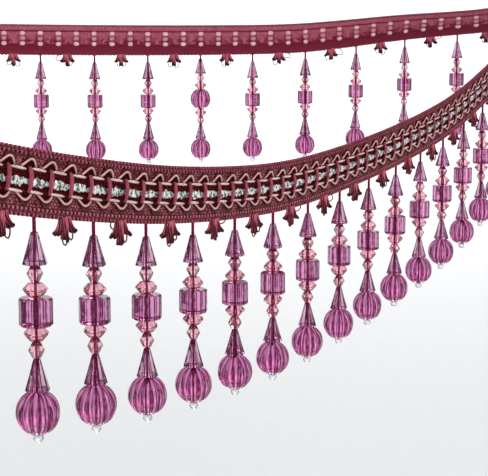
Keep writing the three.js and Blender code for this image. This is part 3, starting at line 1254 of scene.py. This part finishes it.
    def tinsel(self) -> bpy.types.Object:
        """Crinkle the tinsel that runs in the channel, pinched under each bar.

        Returns:
            The tinsel.
        """
        start, end = self.path.ends
        crush = np.random.default_rng(self.tinsel_seed)
        along = np.linspace(start, end, round((end - start) / self.tinsel_step) + 1)
        count = len(along)
        free = 0.55 + 0.45 * np.sin((along - start) * math.pi / self.sizes.cell) ** 2
        out = 0.75 + crush.uniform(-0.15, 0.2, count)
        depth = self.channel_middle + 0.4 + crush.uniform(-0.45, 0.45, count)
        high = self.tinsel_half_high * crush.uniform(0.5, 1.25, (count, 7))
        wide = self.tinsel_half_wide * free[:, None] * crush.uniform(0.6, 1.25, (count, 7))
        centres, normals = self.path.line(along, out, depth)
        pile = MeshPile()
        pile.add_tube(centres, normals, high, wide, sides=7, smooth=False)
        return pile.show("crinkled_tinsel", "tinsel_foil", [TinselFinish()], ["tinsel_cord"])

    def stitches(self) -> bpy.types.Object:
        """Sew the groups of three pale stitches on the reverse, one group to each cell.

        Returns:
            The stitches.
        """
        floss = {"strands": 4, "pitch": 3.0, "gloss": 0.3, "relief": 0.15}
        bright = ThreadFinish(
            "reverse_stitch", tint(196, 124, 144), tint(244, 206, 210), roughness=0.4, **floss
        )
        dim = ThreadFinish(
            "reverse_stitch_dim", tint(160, 84, 104), tint(220, 154, 172), roughness=0.45, **floss
        )
        pile = MeshPile()
        sway = random.Random(self.stitch_seed)
        steps = np.linspace(-1, 1, 7)
        bulge = np.sqrt(1.02 - steps**2)
        for bar in self.bars()[:-1]:
            middle = bar + self.sizes.cell / 2 + sway.uniform(-0.3, 0.3)
            for depth, slot in self.stitch_rows:
                level = np.full(7, depth + sway.uniform(-0.2, 0.2))
                half = sway.uniform(1.75, 2.15)
                centres, normals = self.path.line(middle + steps * half, -0.85 - 0.25 * bulge, level)
                pile.add_tube(centres, normals, 0.12 + 0.38 * bulge, 0.4 + 1.2 * bulge, sides=8, slot=slot)
        return pile.show("reverse_stitches", "gimp_satin", [bright, dim])

    def build(self) -> None:
        """Build the heading's cloth and everything laid on it."""
        cloth = self.cloth()
        laid = [self.selvedges(), self.scallops(), self.ladder(), self.tinsel(), self.stitches()]
        flat = (self.sizes.foot * MM, self.sizes.length * MM)


# Tufts


@dataclass(frozen=True)
class Lock:
    """One lock of a tuft: length, offsets along and out at root and tip, and its half widths."""

    length: float
    root: float
    tip: float
    tip_out: float
    root_half: float
    tip_half: float


@dataclass(frozen=True)
class Tufts:
    """The yarn tufts, one midway between each two drops. Sizes in mm."""

    path: HungPath
    root_up: float = 1.5
    strands: int = 7
    seed: int = 23
    strand_radius: float = 0.6
    loop_radius: float = 0.32
    loop_sizes: tuple[float, float] = (8.0, 10.2)
    hanging_loops: float = 0.75
    hanging_aim: tuple[float, float] = (0.0, 0.3)
    standing_aim: tuple[float, float] = (1.1, 1.6)
    locks: tuple[Lock, ...] = (
        Lock(5.0, -1.9, -4.1, -1.3, 1.2, 1.6),
        Lock(8.3, 0, 0, 0, 1.2, 1.5),
        Lock(5.0, 1.9, 4.1, 1.3, 1.2, 1.6),
    )

    def strand_line(self, lock: Lock, spot: tuple[float, float], steps: int) -> np.ndarray:
        """Trace one strand of a lock.

        Args:
            lock: The lock it belongs to.
            spot: Its place in the lock's section, each from -1 to 1.
            steps: Number of points on it.

        Returns:
            Points as offsets along, out and down from the tuft's root.
        """
        t = np.linspace(0, 1, steps)
        spread = lock.root_half + (lock.tip_half - lock.root_half) * t**1.3
        along = lock.root + (lock.tip - lock.root) * t**1.6 + spot[0] * spread
        out = lock.tip_out * t**1.6 + spot[1] * spread * 0.8
        down = -self.root_up + (lock.length + self.root_up) * np.sin(t * math.pi / 2 * 0.96)
        return np.stack([along, out, down], axis=-1)

    def loop_line(self, aim: float, size: float, steps: int) -> np.ndarray:
        """Trace one of the fine loops that stand out of a tuft.

        Args:
            aim: Which way it swings, in radians from plumb.
            size: How far it stands out.
            steps: Number of points on it.

        Returns:
            Points as offsets along, out and down from the tuft's root.
        """
        turn = np.linspace(0, 2 * math.pi, steps)
        reach = size * (1 - np.cos(turn)) / 2
        wide = 0.24 * size * np.sin(turn)
        along = reach * math.sin(aim) + wide * math.cos(aim)
        down = reach * math.cos(aim) - wide * math.sin(aim)
        return np.stack([along, 0.9 * np.sin(turn / 2), down - 0.6], axis=-1)

    def add_lock(
        self, pile: MeshPile, lock: Lock, root: np.ndarray, axes: np.ndarray, chance: random.Random
    ) -> None:
        """Add a lock's strands to a pile.

        Args:
            pile: Where they go.
            lock: The lock.
            root: The tuft's root in metres.
            axes: The ways along, out and down.
            chance: What makes the strands uneven.
        """
        radius = self.strand_radius * np.array([0.8, 1, 1.1, 1.15, 1.2, 1.25, 1.15])
        twist = chance.uniform(-0.2, 0.2)
        for s in range(self.strands):
            angle = s * 2 * math.pi / (self.strands - 1)
            ring = 0.0 if s == self.strands - 1 else 0.8
            line = self.strand_line(lock, (ring * math.cos(angle) + twist, ring * math.sin(angle)), 7)
            line[:, 2] *= chance.uniform(0.82, 1.04)
            centres = root + line @ axes
            normals = np.broadcast_to(axes[1], centres.shape)
            run = line_run(centres)
            pile.add_tube(centres, normals, radius, radius, sides=6, run=run - run[-1])

    def build(self) -> None:
        """Tie all the tufts."""
        yarn = ThreadFinish(
            "tufted_yarn", tint(60, 6, 20), tint(212, 110, 128),
            strands=2, pitch=14.0, roughness=0.45, gloss=0.35, gap=0.9, cut_end=4.2,
        )
        wire = ThreadFinish(
            "fine_loop_thread", tint(44, 6, 14), tint(124, 62, 68),
            strands=2, pitch=0.9, roughness=0.35, relief=0.05,
        )
        chance = random.Random(self.seed)
        pile = MeshPile()
        sizes = self.path.sizes
        for k in range(1, sizes.drops):
            at = sizes.start + k * sizes.pitch
            root = self.path.place(np.array(at), np.array(0.0), np.array(sizes.foot))
            axes = self.path.plumb_axes(at)
            for lock in self.locks:
                self.add_lock(pile, lock, root, axes, chance)
            for hand in (-1, 1):
                hangs = chance.random() < self.hanging_loops
                aim = hand * chance.uniform(*(self.hanging_aim if hangs else self.standing_aim))
                line = self.loop_line(aim, chance.uniform(*self.loop_sizes), 15)
                line[:, 0] += hand * 1.1
                centres = root + line @ axes
                normals = np.broadcast_to(axes[1], centres.shape)
                pile.add_tube(centres, normals, self.loop_radius, self.loop_radius, sides=5, slot=1)
        pile.show("yarn_tufts", "tuft_yarn", [yarn, wire], ["tuft_strip"])


# Bead drops


class BeadCut(Enum):
    """How a bead's section is cut."""

    FACETS = "facets"
    GORES = "gores"


@dataclass(frozen=True)
class Bead:
    """A bead: its height in mm, rings as (share of height, radius), cut, bevel in degrees and groove."""

    height: float
    rings: tuple[tuple[float, float], ...]
    sides: int
    cut: BeadCut = BeadCut.FACETS
    bevel: float = 2.4
    groove: float = 0.125

    def section(self) -> tuple[np.ndarray, np.ndarray, np.ndarray]:
        """Cut the bead's section.

        Returns:
            Angles round the axis in radians, the share of the radius at each, and how near a cut it is.
        """
        if self.cut is BeadCut.GORES:
            angle = np.linspace(0, 2 * math.pi, self.sides * 6, endpoint=False)
            crest = np.abs(np.sin(angle * self.sides / 2))
            return angle, 1 - self.groove * (1 - crest**0.75), 1 - 0.74 * crest**0.9
        corner = np.arange(self.sides) * 2 * math.pi / self.sides
        bevel = math.radians(self.bevel)
        angle = np.stack([corner - bevel, corner + bevel], axis=1).ravel()
        return angle, np.ones(len(angle)), np.tile([-1.0, 1.0], self.sides)

    def add_to(self, pile: MeshPile, top: float, gap: float = 0.05) -> None:
        """Cut the bead and add it to a pile.

        Args:
            pile: Where it goes.
            top: How far its top lies below the drop's start, in mm.
            gap: How much it is kept short at either end.
        """
        angle, share, side = self.section()
        shares, radius = np.array(self.rings).T
        level = shares * (self.height - 2 * gap) + top + gap
        fade = np.ones(len(radius))
        if self.cut is BeadCut.GORES:
            fade = np.sin(np.linspace(0.12, 0.88, len(radius)) * math.pi)
        reach = radius[:, None] * (1 - (1 - share)[None, :] * fade[:, None])
        loops = np.empty(reach.shape + (3,))
        loops[..., 0] = reach * np.cos(angle) * MM
        loops[..., 1] = -reach * np.sin(angle) * MM
        loops[..., 2] = -level[:, None] * MM
        marks = np.empty(reach.shape + (3,))
        marks[..., 0] = level[:, None]
        marks[..., 1] = side
        marks[..., 2] = 0.0
        marks[[0, -1], :, 2] = 1.0
        pile.add_loops(loops, marks, self.cut is BeadCut.GORES)


def melon_rings(radius: float, steps: int) -> tuple[tuple[float, float], ...]:
    """Give the rings of a melon bead.

    Args:
        radius: Its radius at the belly in mm.
        steps: Number of rings.

    Returns:
        Shares of the height and radii, from top to foot.
    """
    angles = np.linspace(math.radians(13), math.radians(167), steps)
    low = math.cos(angles[0])
    return tuple((float((low - math.cos(a)) / (2 * low)), float(radius * math.sin(a) ** 0.9)) for a in angles)


@dataclass(frozen=True)
class DropKind:
    """Which cone and which middle bead a kind of drop has."""

    name: str
    cone: Bead
    middle: Bead


@dataclass
class BeadDrops:
    """The strung drops, each a row of beads on a string from the heading's foot. Sizes in mm."""

    path: HungPath
    seed: int = 3
    string_length: float = 4.6
    string_gap: float = 0.4
    string_radius: float = 0.7
    first_back: int = 20
    melon_drop: int = 26
    cone_height: float = 11.8
    long_cone_height: float = 13.4
    bicone: Bead = Bead(6.4, ((0, 1.35), (0.06, 1.7), (0.47, 3.05), (0.53, 3.05), (0.94, 1.7), (1, 1.35)), 8)
    rondelle: Bead = Bead(
        5.5, ((0, 1.6), (0.04, 2.6), (0.42, 4.45), (0.5, 4.6), (0.58, 4.45), (0.96, 2.6), (1, 1.6)), 9
    )
    prism: Bead = Bead(10.5, ((0, 5.4), (0.03, 5.85), (0.07, 6.1), (0.93, 6.1), (0.97, 5.85), (1, 5.4)), 12)
    melon: Bead = Bead(16.2, melon_rings(8.1, 25), 13, BeadCut.GORES)
    stopper: Bead = Bead(3.0, ((0, 1.3), (0.15, 1.8), (0.4, 2.0), (0.6, 2.0), (0.85, 1.6), (1, 1.1)), 10)
    finishes: dict[str, AcrylicFinish] = field(
        default_factory=lambda: {
            "purple": AcrylicFinish(
                "purple_acrylic", (1.0, 0.98, 0.99, 1), (0.94, 0.85, 0.91, 1), (0.09, 0.001, 0.035, 1),
                (0.77, 0.0, 0.53, 1), density=90.0, reach=0.46, glint=(0.85, 0.35, 0.7, 1),
            ),
            "pink": AcrylicFinish(
                "pink_acrylic", (1.0, 0.98, 0.98, 1), (0.98, 0.92, 0.93, 1), (0.52, 0.08, 0.13, 1),
                (0.86, 0.03, 0.28, 1), density=105.0, reach=0.8, glint=(0.95, 0.65, 0.7, 1), rim=0.5,
            ),
            "clear": AcrylicFinish(
                "clear_acrylic", (1.0, 1.0, 1.0, 1), (0.98, 0.99, 0.99, 1), (0.8, 0.8, 0.8, 1),
                (0.9, 0.95, 0.95, 1), density=5.0, reach=0.9, rim=0.3, clear=0.72,
            ),
        }
    )

    def cone(self, height: float) -> Bead:
        """Give the cone of a height in mm."""
        rings = ((0, 1.1), (0.02, 1.4), (0.5, 2.95), (0.94, 4.5), (0.975, 4.65), (1, 4.4))
        return Bead(height, rings, 8)

    def order(self, kind: DropKind) -> list[tuple[str, Bead]]:
        """List a drop's beads from the top.

        Args:
            kind: The drop's kind.

        Returns:
            Each bead with the name of the piece that it belongs to.
        """
        return [
            ("purple", kind.cone),
            ("pink", self.bicone),
            ("pink", self.rondelle),
            ("purple", kind.middle),
            ("pink", self.rondelle),
            ("pink", self.bicone),
            ("purple", kind.cone),
            ("purple", self.melon),
            ("clear", self.stopper),
        ]

    def height(self, kind: DropKind) -> float:
        """Add up the heights of a drop's beads in mm."""
        return sum(bead.height for _, bead in self.order(kind))

    def string(self, kind: DropKind, length: float) -> bpy.types.Mesh:
        """Make the string that carries a drop's beads, a single strand of it in the lowest one.

        Args:
            kind: The drop's kind.
            length: How far down it reaches in mm.

        Returns:
            The string's mesh.
        """
        pile = MeshPile()
        bare_end = self.string_length
        melon_top = length - self.melon.height
        thick = self.string_radius
        fine = 0.75 * thick
        stretches = ((-1.6, bare_end, thick), (bare_end, melon_top, fine), (melon_top, length, fine / 2))
        for slot, (first, last, radius) in enumerate(stretches):
            depth = np.linspace(first, last, 20)
            centres = np.zeros((20, 3))
            centres[:, 2] = -depth * MM
            normals = np.broadcast_to(np.array([1.0, 0.0, 0.0]), centres.shape)
            pile.add_tube(centres, normals, radius, radius, sides=8, slot=min(slot, 1))
        twist = {"strands": 2, "pitch": 1.8}
        bare = ThreadFinish("bead_cord", tint(64, 6, 26), tint(128, 36, 64), gloss=0.3, **twist)
        beaded = ThreadFinish("beaded_cord", tint(104, 18, 58), tint(178, 66, 114), gloss=0.2, **twist)
        return pile.to_mesh(f"string_{kind.name}", [bare, beaded])

    def meshes(self, kind: DropKind, string_length: float) -> dict[str, bpy.types.Mesh]:
        """Make the meshes that all drops of a kind share.

        Args:
            kind: The drops' kind.
            string_length: How far below the heading its first bead starts, in mm.

        Returns:
            Meshes by the name of the piece.
        """
        piles = {part: MeshPile() for part in self.finishes}
        top = string_length
        for part, bead in self.order(kind):
            bead.add_to(piles[part], top)
            top += bead.height
        made = {
            part: pile.to_mesh(f"{part}_{kind.name}", [self.finishes[part]]) for part, pile in piles.items()
        }
        made["string"] = self.string(kind, top - self.stopper.height)
        return made

    def build(self) -> None:
        """Hang all the drops."""
        short = self.cone(self.cone_height)
        front = DropKind("front", short, self.prism)
        far = DropKind("far", self.cone(self.long_cone_height), self.prism)
        odd = DropKind("far_melon", short, self.melon)
        odd_string = self.string_length + self.height(far) - self.height(odd)
        shared = {
            "front": self.meshes(front, self.string_length),
            "far": self.meshes(far, self.string_length),
            "odd": self.meshes(odd, odd_string),
        }
        spin = random.Random(self.seed)
        sizes = self.path.sizes
        for k in range(sizes.drops):
            along = k * sizes.pitch
            which = "front" if k < self.first_back else "odd" if k == self.melon_drop else "far"
            place = self.path.place(np.array(along), np.array(0.0), np.array(sizes.foot))
            lean = math.radians(self.path.edge("lean", along))
            place[2] -= (self.string_gap + math.sin(lean)) * MM
            turn = -self.path.plan_at(along)[2] + spin.uniform(-0.35, 0.35)
            for part, mesh in shared[which].items():
                stands_for = [f"bead_drop_{k:02d}"] if part == "purple" else []
                piece = show(mesh, f"drop_{k:02d}_{part}", stands_for)
                piece.location = place
                piece.rotation_euler = (0.0, 0.0, turn)


# The studio


@dataclass(frozen=True)
class PaperFinish(Finish):
    """Paper with a painted pool of light: palest far off in the middle, and painted greyer shade near by and
    towards its sides.
    """

    name: str = "paper_with_painted_light"
    near: Colour = tint(216, 219, 220)
    far: Colour = tint(250, 249, 250)
    sides: Colour = tint(178, 179, 181)
    fibre: Colour = tint(120, 120, 120)

    def dress(self, sheet: NodeSheet, shader: bpy.types.Node) -> None:
        """Paint the pool of light and its falloff on the paper.

        Args:
            sheet: The material's node sheet.
            shader: Its shader.
        """
        place = sheet.position()
        x, y, _ = sheet.split(place)
        grain = sheet.noise(place, 90.0, 3.0)
        # Painted light: the paper's colour is palest far off in the middle and greyer near by and at the
        # sides.
        tone = sheet.mix(sheet.step(y, -0.4, 3.0), self.near, self.far)
        tone = sheet.mix(sheet.step(sheet.math("ABSOLUTE", x), 1.6, 4.0), tone, self.sides)
        tone = sheet.mix(sheet.math("MULTIPLY", grain, 0.05), tone, self.fibre)
        sheet.feed(shader.inputs["Base Color"], tone)
        sheet.feed(shader.inputs["Roughness"], sheet.step(grain, 0.2, 0.8, 0.75, 0.9))


@dataclass(frozen=True)
class SoftLight:
    """A square soft light: where it hangs and what it faces in metres, its side and its power in watts."""

    name: str
    place: tuple[float, float, float]
    aim: tuple[float, float, float]
    size: float
    watts: float


@dataclass(frozen=True)
class Studio:
    """Pale paper that sweeps up behind the trim, soft lights and the camera. Lengths in metres."""

    floor_height: float = -0.42
    front_edge: float = -12.0
    sweep_start: float = 5.0
    sweep_radius: float = 2.0
    wall_top: float = 6.0
    half_width: float = 9.0
    camera_place: tuple[float, float, float] = (-0.2315, -1.2559, 0.0075)
    camera_pitch: float = 81.0
    lens: float = 114.9
    sensor: float = 36.0
    near_limit: float = 0.05
    far_limit: float = 60.0
    dim_room: Colour = (0.30, 0.30, 0.31, 1)
    bright_room: Colour = (1.0, 1.0, 1.0, 1)
    room_strength: float = 0.85
    lights: tuple[SoftLight, ...] = (
        SoftLight("soft_key", (1.15, -2.3, 1.3), (-0.25, -0.4, -0.05), 1.2, 28.0),
        SoftLight("soft_fill", (-1.7, -1.3, 0.9), (-0.2, -0.3, -0.05), 1.4, 10.0),
        SoftLight("sweep_light", (0.0, 3.4, 3.6), (0.0, 5.4, -0.2), 3.0, 150.0),
    )

    def floor(self) -> None:
        """Lay the floor and its sweep."""
        profile = [(self.front_edge, 0.0)]
        for angle in np.linspace(0, math.pi / 2, 17):
            y = self.sweep_start + self.sweep_radius * math.sin(angle)
            profile.append((y, self.sweep_radius * (1 - math.cos(angle))))
        profile.append((self.sweep_start + self.sweep_radius, self.wall_top))
        sides = (-self.half_width, self.half_width)
        points = [(x, y, z + self.floor_height) for y, z in profile for x in sides]
        faces = [(2 * i, 2 * i + 1, 2 * i + 3, 2 * i + 2) for i in range(len(profile) - 1)]
        mesh = bpy.data.meshes.new("studio_floor")
        mesh.from_pydata(points, [], faces)
        mesh.polygons.foreach_set("use_smooth", [True] * len(faces))
        mesh.materials.append(PaperFinish().material())
        add_object("studio_floor", mesh)

    def hang(self, light: SoftLight) -> None:
        """Hang a soft light and aim it.

        Args:
            light: The light to hang.
        """
        data = bpy.data.lights.new(light.name, "AREA")
        data.shape = "SQUARE"
        data.size = light.size
        data.energy = light.watts
        lamp = add_object(light.name, data)
        lamp.location = light.place
        way = Vector(light.aim) - Vector(light.place)
        lamp.rotation_euler = way.to_track_quat("-Z", "Y").to_euler()

    def surroundings(self) -> None:
        """Light the room: bright overhead and behind the trim, dim at the sides and in front."""
        world = bpy.data.worlds.new("soft_room")
        world.use_nodes = True
        bpy.context.scene.world = world
        sheet = NodeSheet(world.node_tree)
        back = world.node_tree.nodes["Background"]
        _, y, z = sheet.split(sheet.add("ShaderNodeTexCoord").outputs["Generated"])
        level = sheet.math("MAXIMUM", sheet.step(z, 0.1, 0.6), sheet.step(y, 0.7, 0.97))
        sheet.feed(back.inputs["Color"], sheet.mix(level, self.dim_room, self.bright_room))
        back.inputs["Strength"].default_value = self.room_strength

    def camera(self) -> None:
        """Set up the camera."""
        data = bpy.data.cameras.new("camera")
        data.lens = self.lens
        data.sensor_width = self.sensor
        data.clip_start = self.near_limit
        data.clip_end = self.far_limit
        camera = add_object("camera", data)
        camera.location = self.camera_place
        camera.rotation_euler = (math.radians(self.camera_pitch), 0.0, 0.0)
        bpy.context.scene.camera = camera

    def build(self) -> None:
        """Set up the whole studio."""
        self.camera()
        self.surroundings()
        self.floor()
        for light in self.lights:
            self.hang(light)
        bpy.context.scene.view_settings.view_transform = "Standard"
        LOG.info("studio: floor, sweep, %d lights and camera", len(self.lights))


def main() -> None:
    """Build the studio and dress the trim."""
    logging.basicConfig(level=logging.INFO, format="%(name)s %(message)s")
    path = HungPath(TrimSizes())
    Studio().build()
    Heading(path).build()
    Tufts(path).build()
    BeadDrops(path).build()


if __name__ == "__main__":
    main()
